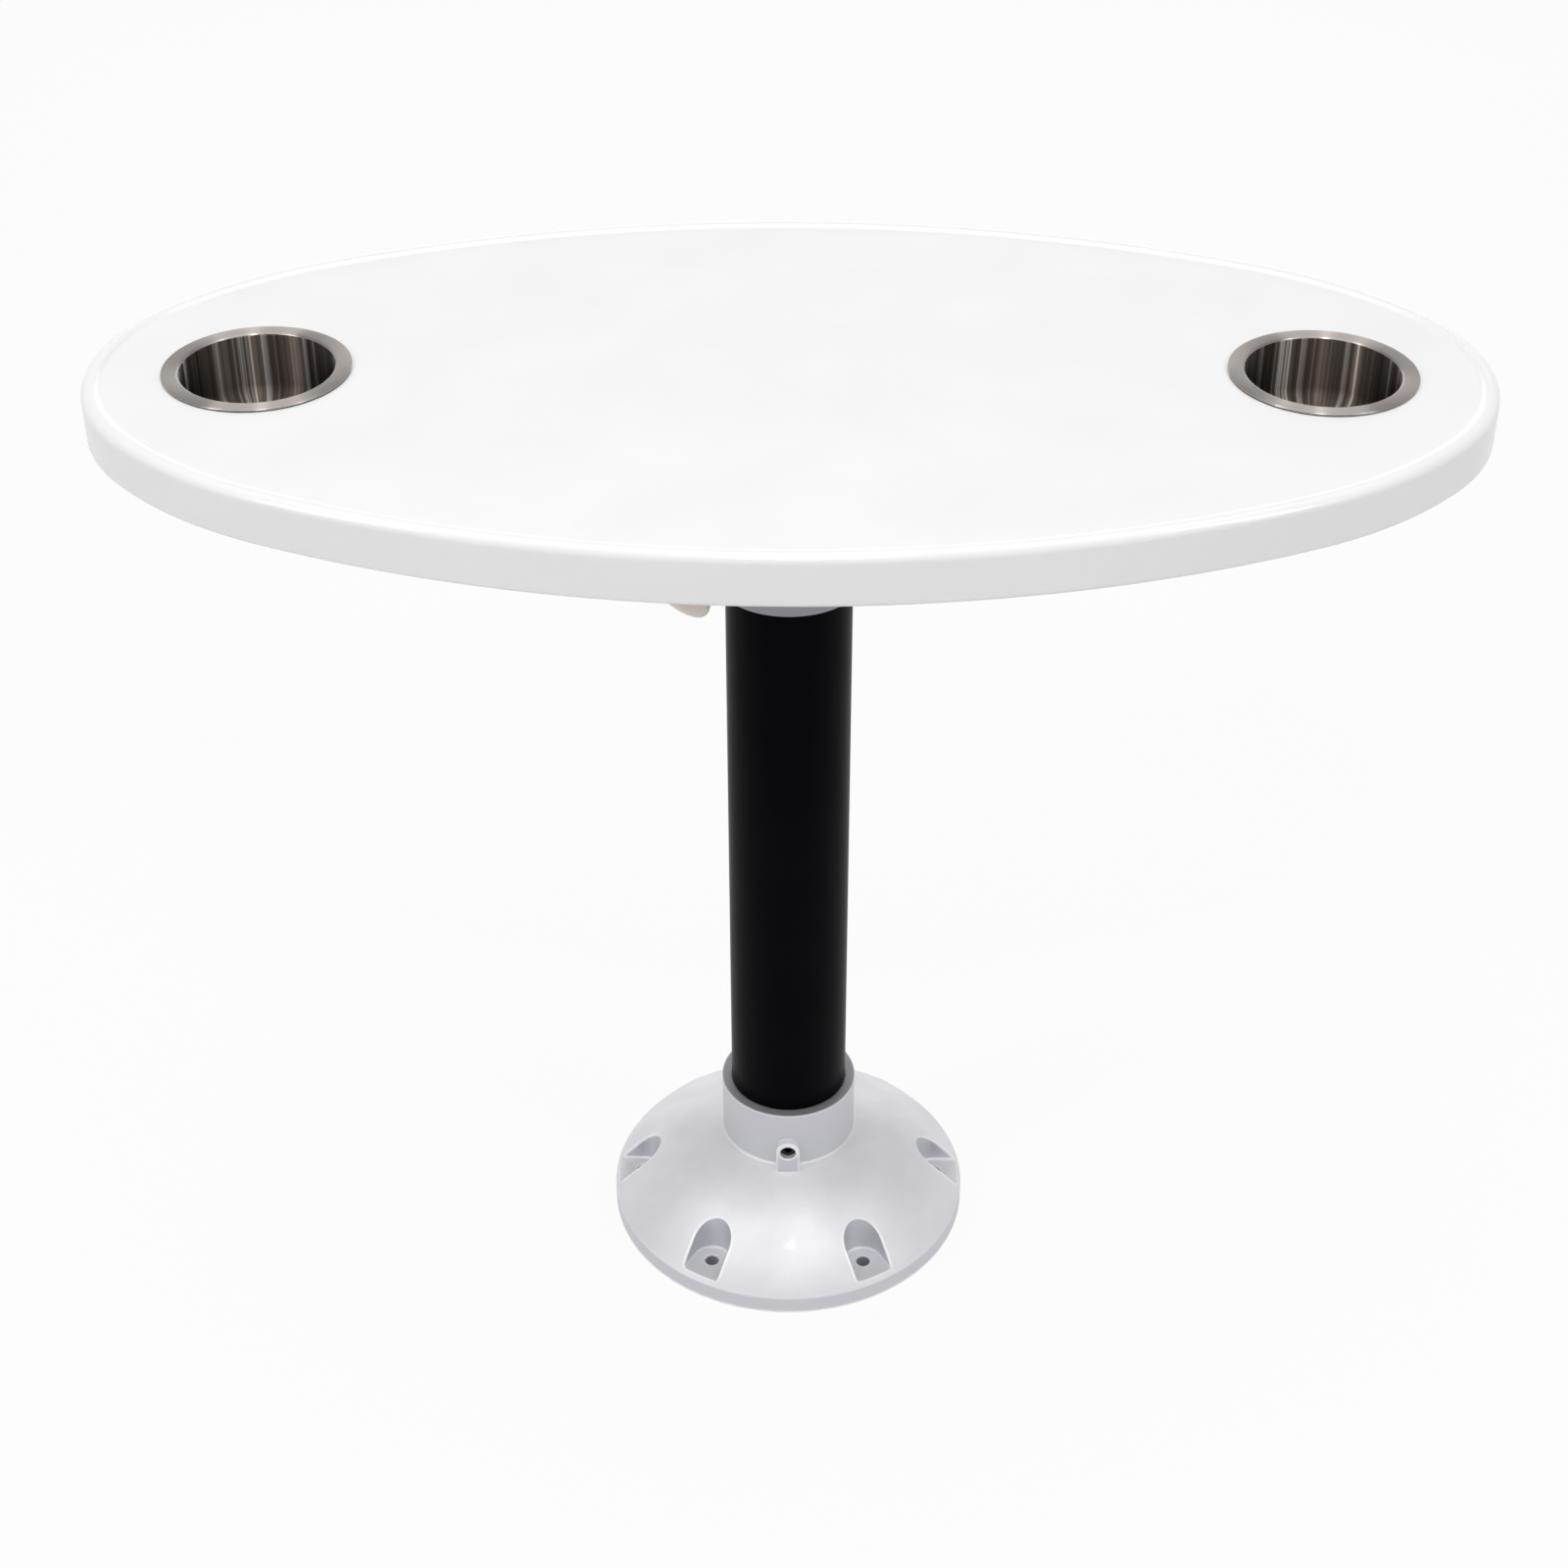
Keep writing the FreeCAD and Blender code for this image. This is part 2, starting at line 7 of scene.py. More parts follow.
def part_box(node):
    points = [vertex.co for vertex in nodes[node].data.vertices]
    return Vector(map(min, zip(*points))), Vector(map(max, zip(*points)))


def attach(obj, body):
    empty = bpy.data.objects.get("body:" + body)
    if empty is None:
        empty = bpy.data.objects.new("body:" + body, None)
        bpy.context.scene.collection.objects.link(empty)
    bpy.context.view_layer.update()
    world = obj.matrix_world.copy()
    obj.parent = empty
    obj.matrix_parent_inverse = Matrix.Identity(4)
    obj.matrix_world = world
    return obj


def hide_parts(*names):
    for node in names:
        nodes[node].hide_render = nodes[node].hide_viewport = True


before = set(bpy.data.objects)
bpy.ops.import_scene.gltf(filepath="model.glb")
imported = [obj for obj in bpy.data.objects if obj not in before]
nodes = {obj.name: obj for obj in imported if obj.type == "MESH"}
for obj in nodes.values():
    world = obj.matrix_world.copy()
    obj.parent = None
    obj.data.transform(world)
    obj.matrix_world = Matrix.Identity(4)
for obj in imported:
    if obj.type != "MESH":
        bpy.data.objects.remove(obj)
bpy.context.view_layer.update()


# Floor base: one aluminium sand casting, a low dome with a post socket and bolt pockets round its rim.
# Its skin is bead-blasted and lacquered. Its upright walls and the socket's top face are painted darker as
# shade, and its outer edges are painted brighter as highlight.
# It is bolted to the deck through the pockets. Sizes here and below are in metres.
def linear(code):
    """sRGB hex to the linear colour that the shaders take."""
    steps = [int(code[k:k + 2], 16) / 255 for k in (1, 3, 5)]
    return [c / 12.92 if c <= 0.04045 else ((c + 0.055) / 1.055) ** 2.4 for c in steps] + [1.0]


def per_mm(size):
    """Pattern scale whose marks are that many millimetres across."""
    return 1000.0 / size


def add(tree, kind, inputs=None, stops=(), **settings):
    """One shader node, with its settings, its inputs as values or links, and its colour stops as
    (place, hex)."""
    made = tree.nodes.new(kind)
    for name, value in settings.items():
        setattr(made, name, value)
    for name, value in (inputs or {}).items():
        named = [socket for socket in made.inputs if socket.enabled and socket.name == name]
        socket = named[0] if named else made.inputs[name]
        if isinstance(value, bpy.types.NodeSocket):
            tree.links.new(value, socket)
        else:
            socket.default_value = value
    for k, (place, code) in enumerate(stops):
        stop = made.color_ramp.elements[k] if k < 2 else made.color_ramp.elements.new(place)
        stop.position = place
        stop.color = linear(code)
    return made


def new_finish(name):
    """A material with an empty node tree, and that tree."""
    finish = bpy.data.materials.new(name)
    finish.use_nodes = True
    finish.node_tree.nodes.clear()
    return finish, finish.node_tree


def dress(finish, *names):
    """Give CAD pieces a finish without touching their meshes."""
    for name in names:
        slot = nodes[name].material_slots[0]
        slot.link = "OBJECT"
        slot.material = finish


def blasted_casting(name, pale, dark, wall, top_shade, top_shade_from):
    """Bead-blasted cast aluminium under clear lacquer: matt silver, slightly cloudy, with a grit drawn
    coarser than it is so that it shows. Upright walls are painted darker as shade, outer edges are painted
    brighter as a highlight on their rounding, and faces above one height, in metres, are painted darker as
    the shade under the table top."""
    finish, tree = new_finish(name)
    spot = add(tree, "ShaderNodeTexCoord")
    place = spot.outputs["Object"]
    clouds = add(tree, "ShaderNodeTexNoise", {"Vector": place, "Scale": per_mm(32.0), "Detail": 3.0})
    grit = add(tree, "ShaderNodeTexNoise", {"Vector": place, "Scale": per_mm(0.9), "Detail": 3.0})
    pits = add(tree, "ShaderNodeTexVoronoi", {"Vector": place, "Scale": per_mm(2.2)})
    soft = add(tree, "ShaderNodeBevel", {"Radius": 0.0012}, samples=6)
    # Painted highlight: convex edges, found by looking inside the skin, are lightened towards white as the
    # shine of their rounding.
    open_side = add(tree, "ShaderNodeAmbientOcclusion", {"Distance": 0.0022},
                    samples=8, inside=True, only_local=True)
    painted_edge_highlight = add(tree, "ShaderNodeMapRange", {"Value": open_side.outputs["AO"],
                                           "From Min": 0.92, "From Max": 0.62})
    tone = add(tree, "ShaderNodeMath", {0: clouds.outputs["Fac"], 1: painted_edge_highlight.outputs["Result"]},
               operation="ADD")
    cast = add(tree, "ShaderNodeValToRGB", {"Fac": tone.outputs["Value"]},
               stops=[(0.30, dark), (0.68, pale), (1.0, "#FBFBFC")])
    # Painted shade: upright walls, found from the normal, are mixed towards the darker wall colour (dull),
    # except where an edge carries the painted highlight.
    upward = add(tree, "ShaderNodeSeparateXYZ", {"Vector": spot.outputs["Normal"]})
    level = add(tree, "ShaderNodeMath", {0: upward.outputs["Z"]}, operation="ABSOLUTE")
    upright_shade = add(tree, "ShaderNodeMapRange", {"Value": level.outputs["Value"],
                                             "From Min": 0.82, "From Max": 0.12})
    dull = add(tree, "ShaderNodeMath", {0: upright_shade.outputs["Result"], 1: painted_edge_highlight.outputs["Result"]},
               operation="SUBTRACT", use_clamp=True)
    blasted = add(tree, "ShaderNodeMix", {"Factor": dull.outputs["Value"], "A": cast.outputs["Color"],
                                          "B": linear(wall)}, data_type="RGBA")
    axes = add(tree, "ShaderNodeSeparateXYZ", {"Vector": place})
    # Painted shade: faces above the given height take the darker top colour (turned), for the shade under
    # the table top.
    turned = add(tree, "ShaderNodeMapRange", {"Value": axes.outputs["Z"], "From Min": top_shade_from,
                                              "From Max": top_shade_from + top_shade_blend})
    colour = add(tree, "ShaderNodeMix", {"Factor": turned.outputs["Result"], "A": blasted.outputs[2],
                                         "B": linear(top_shade)}, data_type="RGBA")
    rough = add(tree, "ShaderNodeMapRange", {"Value": tone.outputs["Value"],
                                             "From Min": 0.3, "From Max": 1.2,
                                             "To Min": 0.58, "To Max": 0.46})
    dimples = add(tree, "ShaderNodeBump", {"Height": pits.outputs["Distance"], "Strength": 0.08,
                                           "Distance": 0.0003, "Normal": soft.outputs["Normal"]})
    grain = add(tree, "ShaderNodeBump", {"Height": grit.outputs["Fac"], "Strength": 0.2,
                                         "Distance": 0.0003, "Normal": dimples.outputs["Normal"]})
    skin = add(tree, "ShaderNodeBsdfPrincipled", {"Base Color": colour.outputs[2], "Metallic": 0.7,
                                                  "Roughness": rough.outputs["Result"],
                                                  "Coat Weight": 0.08, "Coat Roughness": 0.14,
                                                  "Normal": grain.outputs["Normal"]})
    add(tree, "ShaderNodeOutputMaterial", {"Surface": skin.outputs["BSDF"]})
    return finish


top_shade_blend = 0.0003
socket_shade_depth = 0.0007
base_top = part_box("floor_base")[1].z
# D0D0D6 is the painted shade on upright walls and #B2B2B7 the painted shade on the socket's top face.
dress(blasted_casting("bead_blasted_cast_aluminium", "#F5F5F8", "#ECECF0", "#D0D0D6", "#B2B2B7",
                      base_top - socket_shade_depth), "floor_base")


# Set screws: hexagon-socket grub screws of blackened steel, one in the base's boss and three in the mount's
# hub. They are screwed in until they bite on the posts.
def black_oxide():
    """Black-oxide steel: a thin oily black, stained towards grey."""
    finish, tree = new_finish("black_oxide_steel")
    place = add(tree, "ShaderNodeTexCoord").outputs["Object"]
    stain = add(tree, "ShaderNodeTexNoise", {"Vector": place, "Scale": per_mm(1.5), "Detail": 5.0})
    colour = add(tree, "ShaderNodeValToRGB", {"Fac": stain.outputs["Fac"]},
                 stops=[(0.35, "#17171A"), (0.75, "#2E2D30")])
    worn = add(tree, "ShaderNodeBump", {"Height": stain.outputs["Fac"], "Strength": 0.1,
                                        "Distance": 0.0002})
    skin = add(tree, "ShaderNodeBsdfPrincipled", {"Base Color": colour.outputs["Color"], "Metallic": 0.7,
                                                  "Roughness": 0.42, "Normal": worn.outputs["Normal"]})
    add(tree, "ShaderNodeOutputMaterial", {"Surface": skin.outputs["BSDF"]})
    return finish


dress(black_oxide(), "base_set_screw", "mount_set_screws")


# Outer post: drawn aluminium tube with a black anodised coat, slotted at its top.
# It stands in the base's socket, where the set screw holds it.
def black_anodised():
    """Satin black anodising: near black face on, a soft grey sheen along the edges, faint draw lines.
    The lines are drawn coarser than they are so that they show."""
    finish, tree = new_finish("satin_black_anodised_aluminium")
    place = add(tree, "ShaderNodeTexCoord").outputs["Object"]
    drawn = add(tree, "ShaderNodeMapping", {"Vector": place,
                                            "Scale": (per_mm(1.2), per_mm(1.2), per_mm(160.0))})
    lines = add(tree, "ShaderNodeTexNoise", {"Vector": drawn.outputs["Vector"], "Scale": 1.0,
                                             "Detail": 4.0})
    haze = add(tree, "ShaderNodeTexNoise", {"Vector": place, "Scale": per_mm(45.0), "Detail": 3.0})
    colour = add(tree, "ShaderNodeValToRGB", {"Fac": haze.outputs["Fac"]},
                 stops=[(0.3, "#030205"), (0.75, "#060509")])
    rough = add(tree, "ShaderNodeMapRange", {"Value": lines.outputs["Fac"],
                                             "From Min": 0.3, "From Max": 0.7,
                                             "To Min": 0.34, "To Max": 0.44})
    draw_marks = add(tree, "ShaderNodeBump", {"Height": lines.outputs["Fac"], "Strength": 0.06,
                                              "Distance": 0.0002})
    skin = add(tree, "ShaderNodeBsdfPrincipled", {"Base Color": colour.outputs["Color"],
                                                  "Roughness": rough.outputs["Result"],
                                                  "Specular IOR Level": 0.025,
                                                  "Sheen Weight": 0.08, "Sheen Roughness": 0.25,
                                                  "Normal": draw_marks.outputs["Normal"]})
    add(tree, "ShaderNodeOutputMaterial", {"Surface": skin.outputs["BSDF"]})
    return finish


dress(black_anodised(), "outer_post")


# Clamp: a split collar turned from aluminium bar, with a black nylon bush inside the post's top.
# A tie bolt with a rolled thread, a chamfered nut, a washer and a barrel pin draw its ears together at the
# back. These are of zinc-plated steel.
def turned_alloy(name, pale, dark, ring_mm):
    """Lathe-turned aluminium: satin, with rings round the axis.
    The rings are drawn coarser than they are so that they show."""
    finish, tree = new_finish(name)
    place = add(tree, "ShaderNodeTexCoord").outputs["Object"]
    stretched = add(tree, "ShaderNodeMapping", {"Vector": place,
                                                "Scale": (per_mm(500.0), per_mm(500.0), per_mm(ring_mm))})
    rings = add(tree, "ShaderNodeTexNoise", {"Vector": stretched.outputs["Vector"], "Scale": 1.0,
                                             "Detail": 3.0})
    colour = add(tree, "ShaderNodeValToRGB", {"Fac": rings.outputs["Fac"]},
                 stops=[(0.3, dark), (0.7, pale)])
    edges = add(tree, "ShaderNodeBevel", {"Radius": 0.0005}, samples=6)
    cuts = add(tree, "ShaderNodeBump", {"Height": rings.outputs["Fac"], "Strength": 0.12,
                                        "Distance": 0.0002, "Normal": edges.outputs["Normal"]})
    skin = add(tree, "ShaderNodeBsdfPrincipled", {"Base Color": colour.outputs["Color"], "Metallic": 1.0,
                                                  "Roughness": 0.36, "Normal": cuts.outputs["Normal"]})
    add(tree, "ShaderNodeOutputMaterial", {"Surface": skin.outputs["BSDF"]})
    return finish


def black_nylon():
    """Moulded nylon: dull black with the mould's fine spark-eroded texture."""
    finish, tree = new_finish("moulded_black_nylon")
    place = add(tree, "ShaderNodeTexCoord").outputs["Object"]
    texture = add(tree, "ShaderNodeTexNoise", {"Vector": place, "Scale": per_mm(0.8), "Detail": 4.0})
    colour = add(tree, "ShaderNodeValToRGB", {"Fac": texture.outputs["Fac"]},
                 stops=[(0.3, "#141415"), (0.7, "#1F1F21")])
    stipple = add(tree, "ShaderNodeBump", {"Height": texture.outputs["Fac"], "Strength": 0.15,
                                           "Distance": 0.0002})
    skin = add(tree, "ShaderNodeBsdfPrincipled", {"Base Color": colour.outputs["Color"], "Roughness": 0.5,
                                                  "Normal": stipple.outputs["Normal"]})
    add(tree, "ShaderNodeOutputMaterial", {"Surface": skin.outputs["BSDF"]})
    return finish


def bright_zinc():
    """Zinc-plated steel: bright, faintly blue, with a patchy dulled sheen."""
    finish, tree = new_finish("bright_zinc_plated_steel")
    place = add(tree, "ShaderNodeTexCoord").outputs["Object"]
    patches = add(tree, "ShaderNodeTexNoise", {"Vector": place, "Scale": per_mm(3.0), "Detail": 4.0})
    colour = add(tree, "ShaderNodeValToRGB", {"Fac": patches.outputs["Fac"]},
                 stops=[(0.3, "#B3B6BC"), (0.7, "#CDD0D4")])
    rough = add(tree, "ShaderNodeMapRange", {"Value": patches.outputs["Fac"],
                                             "From Min": 0.3, "From Max": 0.7,
                                             "To Min": 0.29, "To Max": 0.40})
    edges = add(tree, "ShaderNodeBevel", {"Radius": 0.0003}, samples=6)
    skin = add(tree, "ShaderNodeBsdfPrincipled", {"Base Color": colour.outputs["Color"], "Metallic": 1.0,
                                                  "Roughness": rough.outputs["Result"],
                                                  "Normal": edges.outputs["Normal"]})
    add(tree, "ShaderNodeOutputMaterial", {"Surface": skin.outputs["BSDF"]})
    return finish


nylon = black_nylon()
zinc = bright_zinc()
# The collar's colours are painted shade: turned aluminium is paler, and these are darkened for the shade
# under the top.
dress(turned_alloy("lathe_turned_aluminium_painted_shade", "#93929A", "#807F87", 0.6), "clamp_collar")
dress(nylon, "clamp_bush")
dress(zinc, "cam_washer", "lever_pin")


same_place = 1e-6
sharp_edge = math.radians(30.0)


def spin(made, section, around, place=Matrix()):
    """Add to a bmesh the surface turned from a section of (radius, height) points, or of functions that
    give the point for an angle. Its rings of corners are returned."""
    turns = [k * math.tau / around for k in range(around)]
    rows = []
    for point in section:
        ring = [point(turn) if callable(point) else point for turn in turns]
        count = around if max(radius for radius, _ in ring) > same_place else 1
        spots = [Vector((radius * math.cos(turn), radius * math.sin(turn), height))
                 for (radius, height), turn in zip(ring[:count], turns)]
        corners = [made.verts.new(place @ spot) for spot in spots]
        rows.append(corners * (around // count))
    for low, high in zip(rows, rows[1:]):
        for k in range(around):
            after = (k + 1) % around
            made.faces.new(list(dict.fromkeys([low[k], low[after], high[after], high[k]])))
    return rows


def set_piece(name, made, finishes, node, body, centre=(0.0, 0.0, 0.0)):
    """Put a modelled piece in a CAD node's place, on the same body."""
    bmesh.ops.remove_doubles(made, verts=made.verts, dist=same_place)
    bmesh.ops.recalc_face_normals(made, faces=made.faces)
    for face in made.faces:
        face.smooth = True
    mesh = bpy.data.meshes.new(name)
    made.to_mesh(mesh)
    made.free()
    mesh.set_sharp_from_angle(angle=sharp_edge)
    for finish in finishes:
        mesh.materials.append(finish)
    piece = bpy.data.objects.new(name, mesh)
    piece.location = centre
    bpy.context.scene.collection.objects.link(piece)
    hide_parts(node)
    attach(piece, body)
    return piece


thread_pitch = 0.00125
thread_depth = 0.0006
thread_run = 0.0125
thread_end = 0.0008
thread_steps = 8
rod_sides = 48
nut_chamfer = 0.0003
nut_chamfer_slope = math.radians(30.0)
nut_bore = 0.00395
nut_sides = 96


def along_x(low, high):
    """Place on the axis of a box that lies along X, from its low end."""
    end = Matrix.Translation((low.x, (low.y + high.y) / 2, (low.z + high.z) / 2))
    return end @ Matrix.Rotation(math.pi / 2, 4, "Y")


def threaded_rod(low, high):
    """Rod with a rolled thread at the nut's end."""
    crest = (high.z - low.z) / 2
    length = high.x - low.x

    def thread(height):
        def flank(turn):
            phase = (height / thread_pitch - turn / math.tau) % 1
            return crest - thread_depth * abs(2 * phase - 1), height
        return flank

    steps = int(thread_steps * (thread_run - thread_end) / thread_pitch)
    section = [(0, 0), (crest, 0), (crest, length - thread_run)]
    section += [thread(length - thread_run + thread_pitch * k / thread_steps) for k in range(1, steps)]
    section += [(crest - thread_end, length), (0, length)]
    made = bmesh.new()
    spin(made, section, rod_sides, along_x(low, high))
    return made


def chamfered_nut(low, high):
    """Hexagon nut whose corners are turned back to a cone at both ends."""
    half = (high.y - low.y) / 2
    tall = high.x - low.x
    flat = half - nut_chamfer

    def reach(turn):
        return half / math.cos(turn % (math.pi / 3) - math.pi / 6)

    def drop(turn):
        return (reach(turn) - flat) * math.tan(nut_chamfer_slope)

    section = [(nut_bore, 0), (flat, 0), lambda turn: (reach(turn), drop(turn)),
               lambda turn: (reach(turn), tall - drop(turn)), (flat, tall), (nut_bore, tall), (nut_bore, 0)]
    made = bmesh.new()
    spin(made, section, nut_sides, along_x(low, high))
    return made


set_piece("threaded_tie_bolt", threaded_rod(*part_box("clamp_bolt")), [zinc],
          "clamp_bolt", "base")
set_piece("chamfered_nut", chamfered_nut(*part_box("clamp_nut")), [zinc],
          "clamp_nut", "base")


# Cam lever: one ABS moulding with a cam at its end. It turns on the barrel pin and bows round the collar,
# and its cam pushes the washer and draws the tie bolt.
def cream_abs():
    """Moulded cream ABS: semi-gloss, with a faint flow mottle and a soft orange peel."""
    finish, tree = new_finish("moulded_cream_ABS")
    place = add(tree, "ShaderNodeTexCoord").outputs["Object"]
    flow = add(tree, "ShaderNodeTexNoise", {"Vector": place, "Scale": per_mm(14.0), "Detail": 3.0})
    peel = add(tree, "ShaderNodeTexNoise", {"Vector": place, "Scale": per_mm(1.4), "Detail": 2.0})
    colour = add(tree, "ShaderNodeValToRGB", {"Fac": flow.outputs["Fac"]},
                 stops=[(0.3, "#E4DBD1"), (0.7, "#ECE3D9")])
    skin_bump = add(tree, "ShaderNodeBump", {"Height": peel.outputs["Fac"], "Strength": 0.06,
                                             "Distance": 0.0003})
    skin = add(tree, "ShaderNodeBsdfPrincipled", {"Base Color": colour.outputs["Color"], "Roughness": 0.38,
                                                  "Normal": skin_bump.outputs["Normal"]})
    add(tree, "ShaderNodeOutputMaterial", {"Surface": skin.outputs["BSDF"]})
    return finish


dress(cream_abs(), "clamp_lever")


# Inner post: clear-anodised drawn aluminium tube that slides and turns in the nylon bush.
# A slit nylon glide rides round its foot between two oiled spring-steel circlips.
def clear_anodised():
    """Clear-anodised drawn tube: satin silver with draw lines.
    The lines are drawn coarser than they are so that they show."""
    finish, tree = new_finish("clear_anodised_drawn_aluminium")
    place = add(tree, "ShaderNodeTexCoord").outputs["Object"]
    drawn = add(tree, "ShaderNodeMapping", {"Vector": place,
                                            "Scale": (per_mm(0.8), per_mm(0.8), per_mm(120.0))})
    lines = add(tree, "ShaderNodeTexNoise", {"Vector": drawn.outputs["Vector"], "Scale": 1.0,
                                             "Detail": 4.0})
    colour = add(tree, "ShaderNodeValToRGB", {"Fac": lines.outputs["Fac"]},
                 stops=[(0.3, "#BCBCC0"), (0.7, "#CFCFD3")])
    draw_marks = add(tree, "ShaderNodeBump", {"Height": lines.outputs["Fac"], "Strength": 0.1,
                                              "Distance": 0.0002})
    skin = add(tree, "ShaderNodeBsdfPrincipled", {"Base Color": colour.outputs["Color"], "Metallic": 1.0,
                                                  "Roughness": 0.3, "Normal": draw_marks.outputs["Normal"]})
    add(tree, "ShaderNodeOutputMaterial", {"Surface": skin.outputs["BSDF"]})
    return finish


def oiled_spring_steel():
    """Oiled spring steel: dark grey, with the oil in darker patches."""
    finish, tree = new_finish("oiled_spring_steel")
    place = add(tree, "ShaderNodeTexCoord").outputs["Object"]
    oil = add(tree, "ShaderNodeTexNoise", {"Vector": place, "Scale": per_mm(4.0), "Detail": 4.0})
    colour = add(tree, "ShaderNodeValToRGB", {"Fac": oil.outputs["Fac"]},
                 stops=[(0.3, "#3A393B"), (0.7, "#57565A")])
    skin = add(tree, "ShaderNodeBsdfPrincipled", {"Base Color": colour.outputs["Color"], "Metallic": 1.0,
                                                  "Roughness": 0.33})
    add(tree, "ShaderNodeOutputMaterial", {"Surface": skin.outputs["BSDF"]})
    return finish


dress(clear_anodised(), "inner_post")
dress(nylon, "lower_glide")
dress(oiled_spring_steel(), "glide_circlips")


# Table mount: a cast aluminium flange with a hub and ribs, blasted like the base and a little darker.
# Zinc-plated round-head screws with a cross recess hold it up to the top, and set screws pinch it on the
# inner post.
mount_shade_depth = 0.0004
mount_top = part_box("table_mount")[1].z
# B4B4B9 here is also the painted shade on upright walls, and #9A9A9E the painted shade on the mount's top
# face against the table.
dress(blasted_casting("blasted_mount_casting", "#C6C6CA", "#B4B4B9", "#B4B4B9", "#9A9A9E",
                      mount_top - mount_shade_depth), "table_mount")


def bend(centre, radius, first, last, steps):
    """Points of a rounded corner in a section, angles in degrees."""
    turns = [math.radians(first + (last - first) * k / steps) for k in range(steps + 1)]
    return [(centre[0] + radius * math.cos(t), centre[1] + radius * math.sin(t)) for t in turns]


def fill_between(made, loops):
    """Close the flat face between an outline and the holes in it."""
    rim = [made.edges.get((a, b)) for loop in loops for a, b in zip(loop, loop[1:] + loop[:1])]
    bmesh.ops.triangle_fill(made, use_beauty=True, edges=rim)


screw_count = 6
screw_circle = 0.074
screw_shank = 0.0024
screw_point = 0.003
head_tall = 0.0028
head_round = 0.00224
head_round_steps = 8
head_sides = 48
cross_arm = 0.0021
cross_half = 0.00045
cross_depth = 0.0014
cross_foot_share = 0.6
drive_turn = 0.7


def cross_head_screws(low, high):
    """Round-head screws with a cross recess, each driven home at its own angle."""
    reach = high.x - screw_circle
    tall = high.z - low.z
    section = bend((reach - head_round, head_round), head_round, -90, 0, head_round_steps)
    section += [(reach, head_tall), (screw_shank, head_tall), (screw_shank, tall - screw_point), (0, tall)]
    quarter = [(cross_arm, -cross_half), (cross_arm, cross_half), (cross_half, cross_half)]
    made = bmesh.new()
    for k in range(screw_count):
        bearing = k * math.tau / screw_count
        centre = (screw_circle * math.cos(bearing), screw_circle * math.sin(bearing), low.z)
        place = Matrix.Translation(centre) @ Matrix.Rotation(drive_turn * k, 4, "Z")
        crown = spin(made, section, head_sides, place)[0]
        outline = [Matrix.Rotation(side * math.pi / 2, 4, "Z") @ Vector((x, y, 0))
                   for side in range(4) for x, y in quarter]
        mouth = [made.verts.new(place @ spot) for spot in outline]
        foot = [made.verts.new(place @ (spot * cross_foot_share + Vector((0, 0, cross_depth))))
                for spot in outline]
        for j in range(len(mouth)):
            after = (j + 1) % len(mouth)
            made.faces.new((mouth[j], mouth[after], foot[after], foot[j]))
        made.faces.new(foot)
        fill_between(made, [crown, mouth])
    return made


set_piece("cross_head_screws", cross_head_screws(*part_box("mount_screws")), [zinc],
          "mount_screws", "top")


# Oval top: a shell moulded in white gelcoat with a raised lip round its face, over a marine plywood core.
# A moulded panel closes it below, and the mount's screws go up through that into the core.
def white_gelcoat():
    """White gelcoat: glossy and brilliant, with the faint ripple of the mould."""
    finish, tree = new_finish("gloss_white_gelcoat")
    place = add(tree, "ShaderNodeTexCoord").outputs["Object"]
    tone = add(tree, "ShaderNodeTexNoise", {"Vector": place, "Scale": per_mm(60.0), "Detail": 4.0})
    ripple = add(tree, "ShaderNodeTexNoise", {"Vector": place, "Scale": per_mm(16.0), "Detail": 3.0})
    colour = add(tree, "ShaderNodeValToRGB", {"Fac": tone.outputs["Fac"]},
                 stops=[(0.3, "#EFEFF0"), (0.7, "#F1F1F1")])
    rough = add(tree, "ShaderNodeMapRange", {"Value": tone.outputs["Fac"], "From Min": 0.3, "From Max": 0.7,
                                             "To Min": 0.17, "To Max": 0.25})
    wave = add(tree, "ShaderNodeBump", {"Height": ripple.outputs["Fac"], "Strength": 0.03,
                                        "Distance": 0.0006})
    skin = add(tree, "ShaderNodeBsdfPrincipled", {"Base Color": colour.outputs["Color"],
                                                  "Roughness": rough.outputs["Result"],
                                                  "Normal": wave.outputs["Normal"]})
    add(tree, "ShaderNodeOutputMaterial", {"Surface": skin.outputs["BSDF"]})
    return finish


def satin_panel():
    """Moulded panel: satin white with a fine pebble."""
    finish, tree = new_finish("satin_white_backing_panel")
    place = add(tree, "ShaderNodeTexCoord").outputs["Object"]
    stipple = add(tree, "ShaderNodeTexVoronoi", {"Vector": place, "Scale": per_mm(2.5)})
    tone = add(tree, "ShaderNodeTexNoise", {"Vector": place, "Scale": per_mm(40.0), "Detail": 3.0})
    colour = add(tree, "ShaderNodeValToRGB", {"Fac": tone.outputs["Fac"]},
                 stops=[(0.3, "#DCDCDB"), (0.7, "#E6E6E5")])
    pebble = add(tree, "ShaderNodeBump", {"Height": stipple.outputs["Distance"], "Strength": 0.2,
                                          "Distance": 0.0003})
    skin = add(tree, "ShaderNodeBsdfPrincipled", {"Base Color": colour.outputs["Color"], "Roughness": 0.5,
                                                  "Normal": pebble.outputs["Normal"]})
    add(tree, "ShaderNodeOutputMaterial", {"Surface": skin.outputs["BSDF"]})
    return finish


waves_per_scale = 3.14


